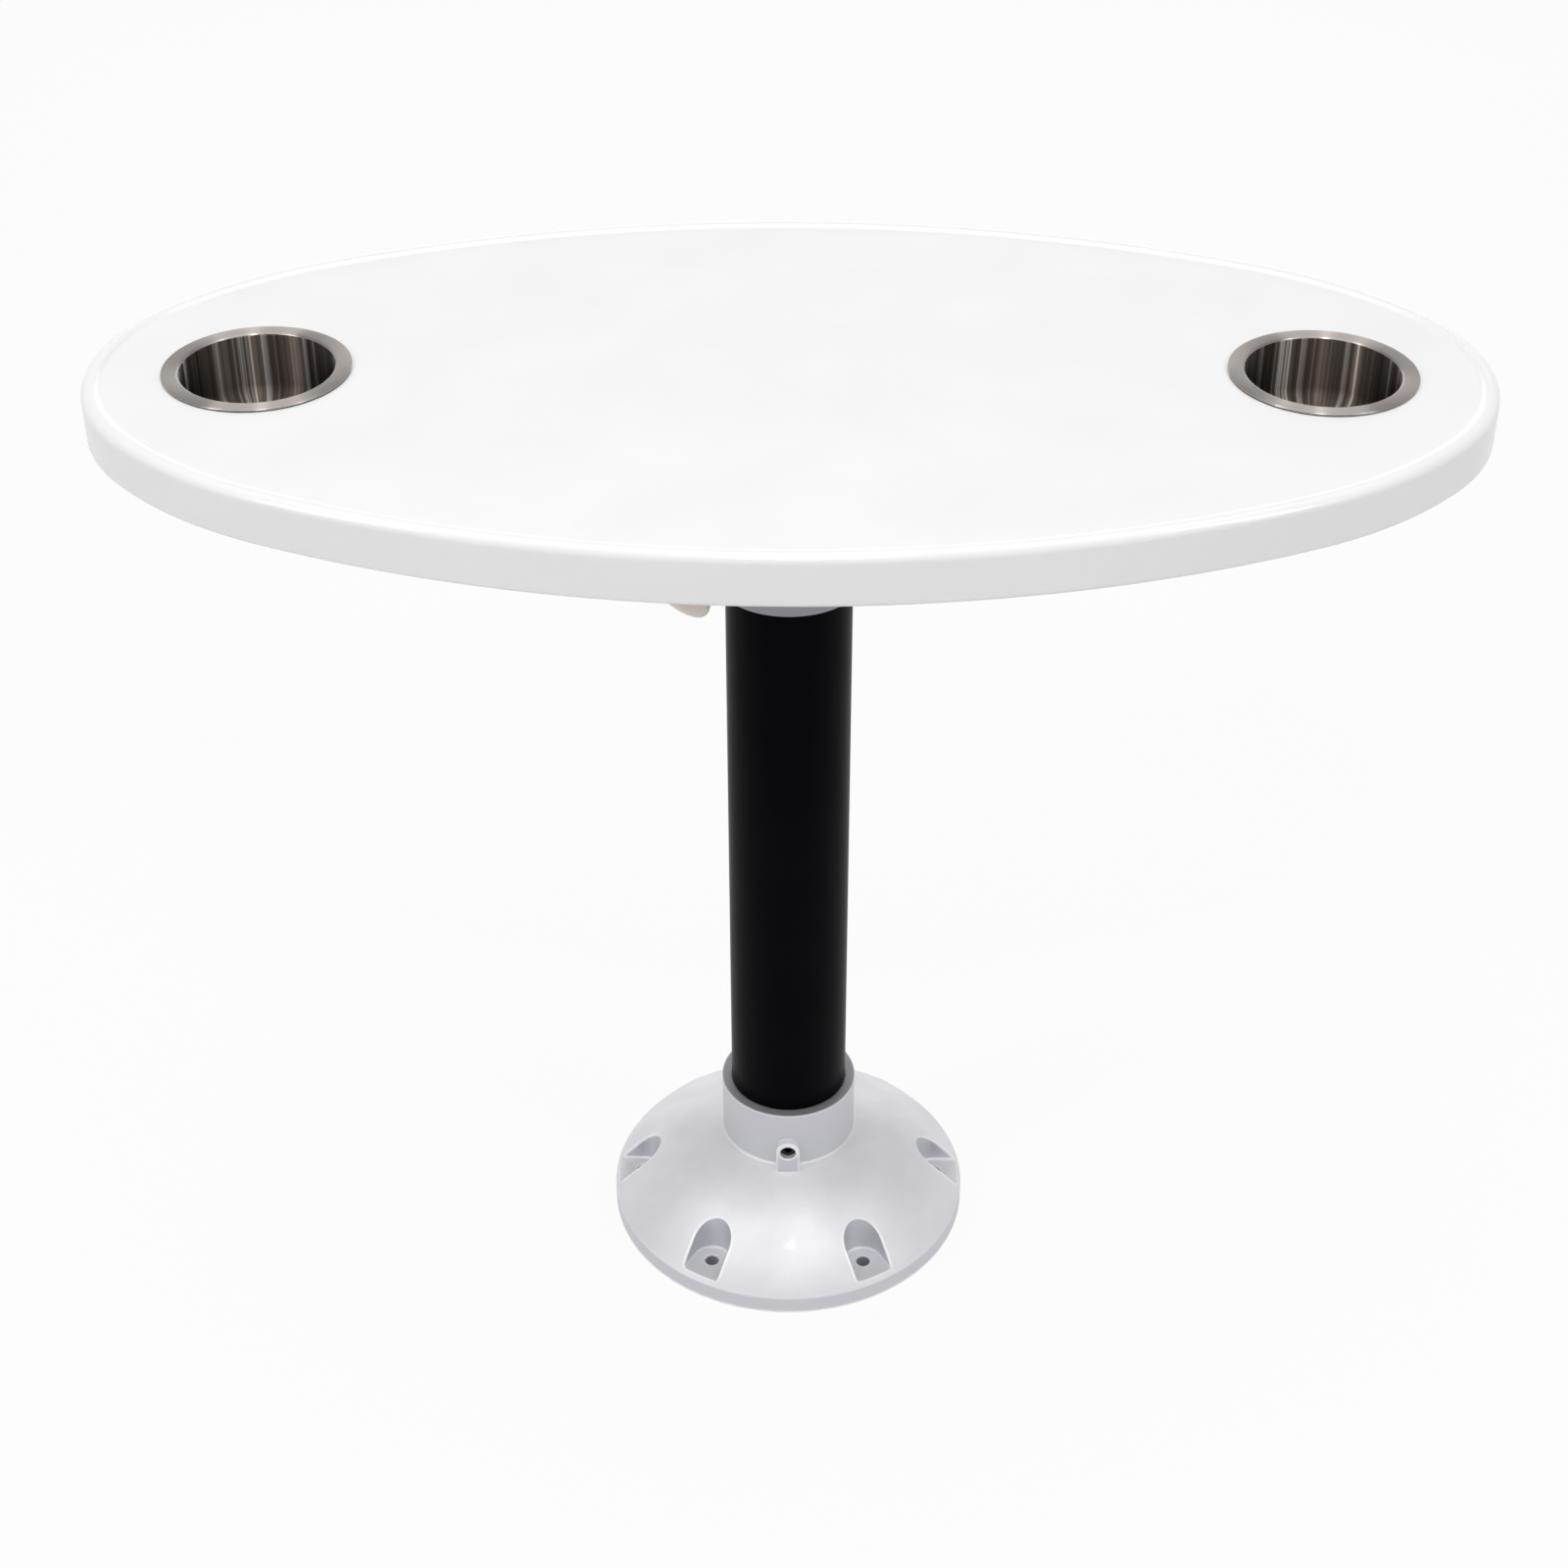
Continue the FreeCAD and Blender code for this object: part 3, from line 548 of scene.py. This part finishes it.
def marine_plywood():
    """Plywood edge: plies 1.5 mm thick, light and dark in turn, with the grain along them."""
    finish, tree = new_finish("marine_plywood")
    place = add(tree, "ShaderNodeTexCoord").outputs["Object"]
    plies = add(tree, "ShaderNodeTexWave", {"Vector": place, "Scale": per_mm(3.0) / waves_per_scale,
                                            "Distortion": 0.6}, bands_direction="Z")
    along = add(tree, "ShaderNodeMapping", {"Vector": place,
                                            "Scale": (per_mm(30.0), per_mm(1.5), per_mm(1.5))})
    grain = add(tree, "ShaderNodeTexNoise", {"Vector": along.outputs["Vector"], "Scale": 1.0,
                                             "Detail": 4.0})
    ply = add(tree, "ShaderNodeValToRGB", {"Fac": plies.outputs["Fac"]},
              stops=[(0.3, "#B08A5C"), (0.7, "#D2B083")])
    shade = add(tree, "ShaderNodeValToRGB", {"Fac": grain.outputs["Fac"]},
                stops=[(0.3, "#C9C2B8"), (0.7, "#FFFFFF")])
    colour = add(tree, "ShaderNodeMix", {"Factor": 1.0, "A": ply.outputs["Color"],
                                         "B": shade.outputs["Color"]},
                 data_type="RGBA", blend_type="MULTIPLY")
    skin = add(tree, "ShaderNodeBsdfPrincipled", {"Base Color": colour.outputs[2], "Roughness": 0.6})
    add(tree, "ShaderNodeOutputMaterial", {"Surface": skin.outputs["BSDF"]})
    return finish


oval_shoulder = 0.237
oval_end = math.radians(40.0)
oval_side = math.radians(65.0)
lip_crest = 0.0062
lip_width = 0.0112
lip_height = 0.0020
edge_round = 0.0050
foot_round = 0.0020
shell_skirt = 0.0050
shell_skin = 0.0040
face_border = 0.0040
wall_border = 0.0010
lip_steps = 8
edge_steps = 14
foot_steps = 6
cup_hole = 0.0435
cup_hole_sides = 160
cup_middle = 0.288


def oval_arcs(length, width):
    """Centre, radius, first and last angle of the eight tangent arcs that make the oval."""
    run_x = length / 2 - oval_shoulder * (math.cos(oval_end) - math.cos(oval_side))
    run_y = width / 2 - oval_shoulder * (math.sin(oval_side) - math.sin(oval_end))
    scale = (1 - math.cos(oval_end)) * (1 - math.sin(oval_side)) - math.cos(oval_side) * math.sin(oval_end)
    end_radius = (run_x * (1 - math.sin(oval_side)) - run_y * math.cos(oval_side)) / scale
    side_radius = (run_y * (1 - math.cos(oval_end)) - run_x * math.sin(oval_end)) / scale
    end_x = length / 2 - end_radius
    shoulder_x = end_x + (end_radius - oval_shoulder) * math.cos(oval_end)
    shoulder_y = (end_radius - oval_shoulder) * math.sin(oval_end)
    half = [(end_x, 0, end_radius, -oval_end, oval_end),
            (shoulder_x, shoulder_y, oval_shoulder, oval_end, oval_side),
            (0, width / 2 - side_radius, side_radius, oval_side, math.pi - oval_side),
            (-shoulder_x, shoulder_y, oval_shoulder, math.pi - oval_side, math.pi - oval_end)]
    return half + [(-x, -y, radius, first + math.pi, last + math.pi) for x, y, radius, first, last in half]


def oval_ring(arcs, inset, height, step=0.003):
    """Points round the oval, set in from its edge, about a step apart."""
    spots = []
    for x, y, radius, first, last in arcs:
        count = math.ceil(radius * (last - first) / step)
        for k in range(count):
            angle = first + (last - first) * k / count
            reach = radius - inset
            spots.append((x + reach * math.cos(angle), y + reach * math.sin(angle), height))
    return spots


def moulded_shell():
    """The whole moulding as one closed skin: lip, rounded edge, wall, foot, hollow underside, cup holes."""
    low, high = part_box("top_shell")
    arcs = oval_arcs(high.x - low.x, high.y - low.y)
    face = high.z - lip_height
    under = face - shell_skin
    half_run = (lip_width - lip_crest) / 2
    step_round = (half_run ** 2 + lip_height ** 2 / 4) / lip_height
    lean = math.degrees(math.asin(half_run / step_round))
    section = [(lip_width + face_border, face)]
    section += bend((lip_width, face + step_round), step_round, -90, -90 - lean, lip_steps)
    section += bend((lip_crest, high.z - step_round), step_round, 90 - lean, 90, lip_steps)[1:]
    section += bend((edge_round, high.z - edge_round), edge_round, 90, 180, edge_steps)
    section += [(0, high.z - edge_round - wall_border), (0, low.z + foot_round + wall_border)]
    section += bend((foot_round, low.z + foot_round), foot_round, 180, 270, foot_steps)
    section += [(shell_skirt, low.z), (shell_skirt, under)]
    made = bmesh.new()
    rows = [[made.verts.new(spot) for spot in oval_ring(arcs, inset, height)] for inset, height in section]
    holes = []
    turns = [k * math.tau / cup_hole_sides for k in range(cup_hole_sides)]
    for middle in (-cup_middle, cup_middle):
        circle = [(middle + cup_hole * math.cos(turn), cup_hole * math.sin(turn)) for turn in turns]
        holes.append([[made.verts.new((x, y, height)) for x, y in circle] for height in (face, under)])
    for above, below in list(zip(rows, rows[1:])) + holes:
        for k in range(len(above)):
            after = (k + 1) % len(above)
            made.faces.new((above[k], above[after], below[after], below[k]))
    fill_between(made, [rows[0], holes[0][0], holes[1][0]])
    fill_between(made, [rows[-1], holes[0][1], holes[1][1]])
    return made


set_piece("moulded_oval_shell", moulded_shell(), [white_gelcoat()],
          "top_shell", "top")
dress(satin_panel(), "backing_panel")
dress(marine_plywood(), "core_board")


# Cup holders: cups drawn from stainless sheet with a flat flange, which is polished in a lathe.
# They are dropped into the top's holes on thin black foam gaskets.
def drawn_stainless():
    """Drawn stainless with upright draw marks, whose colour is painted reflection: dark brown for a dim room
    and pale for lamps. Upright bands of lamp light also come from its shine.
    The marks are drawn coarser than they are so that they show."""
    finish, tree = new_finish("drawn_stainless_steel_painted_reflection")
    place = add(tree, "ShaderNodeTexCoord").outputs["Object"]
    axes = add(tree, "ShaderNodeSeparateXYZ", {"Vector": place})
    flat = add(tree, "ShaderNodeCombineXYZ", {"X": axes.outputs["X"], "Y": axes.outputs["Y"]})
    bearing = add(tree, "ShaderNodeVectorMath", {0: flat.outputs["Vector"]}, operation="NORMALIZE")
    draw_marks_and_painted_reflection = add(tree, "ShaderNodeTexNoise", {"Vector": bearing.outputs["Vector"], "Scale": 7.0,
                                               "Detail": 6.0, "Roughness": 0.65})
    # Painted reflection: the dark brown and pale stops stand for a dim room and lamps mirrored in the steel.
    colour = add(tree, "ShaderNodeValToRGB", {"Fac": draw_marks_and_painted_reflection.outputs["Fac"]},
                 stops=[(0.36, "#3C342E"), (0.54, "#6E645C"), (0.66, "#E6E0DB")])
    round_way = add(tree, "ShaderNodeTangent", axis="Z", direction_type="RADIAL")
    skin = add(tree, "ShaderNodeBsdfPrincipled", {"Base Color": colour.outputs["Color"], "Metallic": 1.0,
                                                  "Roughness": 0.48, "Anisotropic": 1.0,
                                                  "Anisotropic Rotation": 0.25,
                                                  "Tangent": round_way.outputs["Tangent"]})
    add(tree, "ShaderNodeOutputMaterial", {"Surface": skin.outputs["BSDF"]})
    return finish


def spun_stainless():
    """Spin-polished stainless: pale, with fine rings that fan the light out from the middle."""
    finish, tree = new_finish("spin_polished_stainless_steel")
    place = add(tree, "ShaderNodeTexCoord").outputs["Object"]
    axes = add(tree, "ShaderNodeSeparateXYZ", {"Vector": place})
    flat = add(tree, "ShaderNodeCombineXYZ", {"X": axes.outputs["X"], "Y": axes.outputs["Y"]})
    radius = add(tree, "ShaderNodeVectorMath", {0: flat.outputs["Vector"]}, operation="LENGTH")
    ring_place = add(tree, "ShaderNodeCombineXYZ", {"X": radius.outputs["Value"]})
    rings = add(tree, "ShaderNodeTexNoise", {"Vector": ring_place.outputs["Vector"], "Scale": per_mm(0.5),
                                             "Detail": 3.0})
    colour = add(tree, "ShaderNodeValToRGB", {"Fac": rings.outputs["Fac"]},
                 stops=[(0.3, "#B4ADA8"), (0.7, "#C6BFBA")])
    round_way = add(tree, "ShaderNodeTangent", axis="Z", direction_type="RADIAL")
    cuts = add(tree, "ShaderNodeBump", {"Height": rings.outputs["Fac"], "Strength": 0.1,
                                        "Distance": 0.0002})
    skin = add(tree, "ShaderNodeBsdfPrincipled", {"Base Color": colour.outputs["Color"], "Metallic": 1.0,
                                                  "Roughness": 0.36, "Anisotropic": 1.0,
                                                  "Anisotropic Rotation": 0.25,
                                                  "Tangent": round_way.outputs["Tangent"],
                                                  "Normal": cuts.outputs["Normal"]})
    add(tree, "ShaderNodeOutputMaterial", {"Surface": skin.outputs["BSDF"]})
    return finish


def foam_rubber():
    """Foam rubber: dull black with small closed cells."""
    finish, tree = new_finish("black_foam_rubber")
    place = add(tree, "ShaderNodeTexCoord").outputs["Object"]
    cells = add(tree, "ShaderNodeTexVoronoi", {"Vector": place, "Scale": per_mm(0.7)})
    colour = add(tree, "ShaderNodeValToRGB", {"Fac": cells.outputs["Distance"]},
                 stops=[(0.1, "#0B0B0B"), (0.7, "#1A1A1A")])
    skin = add(tree, "ShaderNodeBsdfPrincipled", {"Base Color": colour.outputs["Color"], "Roughness": 0.85})
    add(tree, "ShaderNodeOutputMaterial", {"Surface": skin.outputs["BSDF"]})
    return finish


cup_wall = 0.0010
cup_mouth = 0.0419
cup_lip_round = 0.0016
cup_bend = 0.0080
cup_throat = 0.0004
cup_polish_start = 0.0002
cup_floor_shares = (0.55, 0.3, 0.0)
cup_bend_steps = 14
cup_outer_steps = 12
cup_edge_steps = 8
cup_sides = 192
wall_finish = drawn_stainless()
flange_finish = spun_stainless()
for side in ("left", "right"):
    low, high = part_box(side + "_cup_holder")
    reach = (high.x - low.x) / 2
    tall = high.z - low.z
    under_flange = tall - cup_wall
    outside = cup_mouth + cup_wall
    section = [(0, 0)]
    outer_bend = cup_bend + cup_wall
    section += bend((outside - outer_bend, outer_bend), outer_bend, -90, 0, cup_outer_steps)
    section += [(outside, under_flange - cup_throat), (outside + cup_throat, under_flange)]
    section += bend((reach - cup_wall / 2, tall - cup_wall / 2), cup_wall / 2, -90, 90, cup_edge_steps)
    lip_centre = (cup_mouth + cup_lip_round, tall - cup_lip_round)
    section += bend(lip_centre, cup_lip_round, 90, 180, cup_edge_steps)
    section += bend((cup_mouth - cup_bend, cup_wall + cup_bend), cup_bend, 0, -90, cup_bend_steps)
    section += [(cup_mouth * share, cup_wall) for share in cup_floor_shares]
    middle = Vector(((low.x + high.x) / 2, (low.y + high.y) / 2, low.z))
    made = bmesh.new()
    spin(made, section, cup_sides)
    cup = set_piece(side + "_drawn_cup", made, [flange_finish, wall_finish],
                    side + "_cup_holder", "top", middle)
    for face in cup.data.polygons:
        radial = math.hypot(face.center.x, face.center.y)
        polished = radial > cup_mouth + cup_polish_start and face.center.z > under_flange
        face.material_index = 0 if polished else 1
dress(foam_rubber(), "left_cup_gasket", "right_cup_gasket")


# Studio: a white paper floor that still takes the table's shadow, in a room that is white round its walls
# and dimmer above. A wide softbox hangs overhead, two upright strips stand in front at the left and the
# right, a small lamp hangs over the camera, and a broad fill lights the back.
def shown_rays(tree):
    """1 for a ray that shows the surface itself: from the lens, in a reflection, through something clear."""
    rays = add(tree, "ShaderNodeLightPath")
    seen = add(tree, "ShaderNodeMath", {0: rays.outputs["Is Camera Ray"], 1: rays.outputs["Is Glossy Ray"]},
               operation="MAXIMUM")
    shown = add(tree, "ShaderNodeMath", {0: seen.outputs["Value"], 1: rays.outputs["Is Transmission Ray"]},
                operation="MAXIMUM")
    return shown.outputs["Value"]


closed_floor = 0.110
glow_share = 0.92


def studio_floor():
    """Paper that is white to the lens and in shiny surfaces, and plain in the space under the base."""
    finish, tree = new_finish("white_studio_floor")
    spot = add(tree, "ShaderNodeTexCoord")
    reach = add(tree, "ShaderNodeVectorMath", {0: spot.outputs["Object"]}, operation="LENGTH")
    open_floor = add(tree, "ShaderNodeMath", {0: reach.outputs["Value"], 1: closed_floor},
                     operation="GREATER_THAN")
    lit = add(tree, "ShaderNodeMath", {0: shown_rays(tree), 1: open_floor.outputs["Value"]},
              operation="MULTIPLY")
    share = add(tree, "ShaderNodeMath", {0: lit.outputs["Value"], 1: glow_share}, operation="MULTIPLY")
    paper = add(tree, "ShaderNodeBsdfDiffuse", {"Color": linear("#EDEDED")})
    glow = add(tree, "ShaderNodeEmission", {"Color": linear("#FFFFFF"), "Strength": 1.0})
    sweep = add(tree, "ShaderNodeMixShader", {0: share.outputs["Value"], 1: paper.outputs["BSDF"],
                                              2: glow.outputs["Emission"]})
    add(tree, "ShaderNodeOutputMaterial", {"Surface": sweep.outputs["Shader"]})
    return finish


floor_size = 14.0
floor_drop = 0.0004
floor_mesh = bpy.data.meshes.new("studio_floor")
corner = floor_size / 2
floor_mesh.from_pydata([(-corner, -corner, -floor_drop), (corner, -corner, -floor_drop),
                        (corner, corner, -floor_drop), (-corner, corner, -floor_drop)], [], [(0, 1, 2, 3)])
floor = bpy.data.objects.new("studio_floor", floor_mesh)
bpy.context.scene.collection.objects.link(floor)
floor.data.materials.append(studio_floor())

room_light = 0.36
wall_white = 1.0
ceiling_grey = 0.34
room = bpy.data.worlds.new("studio_room")
bpy.context.scene.world = room
room.use_nodes = True
room_tree = room.node_tree
room_tree.nodes.clear()
way = add(room_tree, "ShaderNodeTexCoord")
rise = add(room_tree, "ShaderNodeSeparateXYZ", {"Vector": way.outputs["Generated"]})
walls = add(room_tree, "ShaderNodeMapRange", {"Value": rise.outputs["Z"], "From Min": 0.05, "From Max": 0.6,
                                              "To Min": wall_white, "To Max": ceiling_grey})
level = add(room_tree, "ShaderNodeMapRange", {"Value": shown_rays(room_tree), "To Min": room_light,
                                              "To Max": walls.outputs["Result"]})
air = add(room_tree, "ShaderNodeBackground", {"Color": linear("#FFFFFF"),
                                              "Strength": level.outputs["Result"]})
add(room_tree, "ShaderNodeOutputWorld", {"Surface": air.outputs["Background"]})


def softbox(name, place, target, width, height, watts):
    """An area lamp at one place, turned to face another."""
    lamp = bpy.data.lights.new(name, "AREA")
    lamp.shape = "RECTANGLE"
    lamp.size = width
    lamp.size_y = height
    lamp.energy = watts
    stand = bpy.data.objects.new(name, lamp)
    stand.location = place
    stand.rotation_euler = (Vector(target) - Vector(place)).to_track_quat("-Z", "Y").to_euler()
    bpy.context.scene.collection.objects.link(stand)


softbox("overhead_softbox", (0.0, 0.15, 2.6), (0.0, 0.0, 0.6), 2.2, 1.6, 18.0)
softbox("left_strip", (-1.5, -1.0, 1.75), (0.0, 0.0, 0.5), 0.28, 1.2, 10.5)
softbox("middle_lamp", (0.05, -1.6, 2.5), (0.0, 0.0, 0.3), 0.10, 0.16, 13.5)
softbox("right_strip", (1.5, -1.0, 1.75), (0.0, 0.0, 0.5), 0.28, 1.2, 8.0)
softbox("back_fill", (0.0, 2.6, 1.0), (0.0, 0.0, 0.45), 2.6, 0.9, 9.0)


# Camera: stands in front of the table and looks down on it, as the photograph was taken.
# Its lens is given in pixels of the photograph, and its tilt and swing in radians.
lens_pixels = 2739.94
photo_pixels = 1600
film_width = 36.0
tilt = 0.6082
swing = -0.0085
camera_place = (0.0083, -1.3179, 1.2454)
camera_data = bpy.data.cameras.new("camera")
camera_data.sensor_fit = "HORIZONTAL"
camera_data.sensor_width = film_width
camera_data.lens = lens_pixels / photo_pixels * film_width
camera = bpy.data.objects.new("camera", camera_data)
camera.location = camera_place
sight = Vector((math.sin(swing) * math.cos(tilt), math.cos(swing) * math.cos(tilt), -math.sin(tilt)))
camera.rotation_euler = sight.to_track_quat("-Z", "Y").to_euler()
bpy.context.scene.collection.objects.link(camera)
bpy.context.scene.camera = camera
bpy.context.scene.view_settings.view_transform = "Standard"
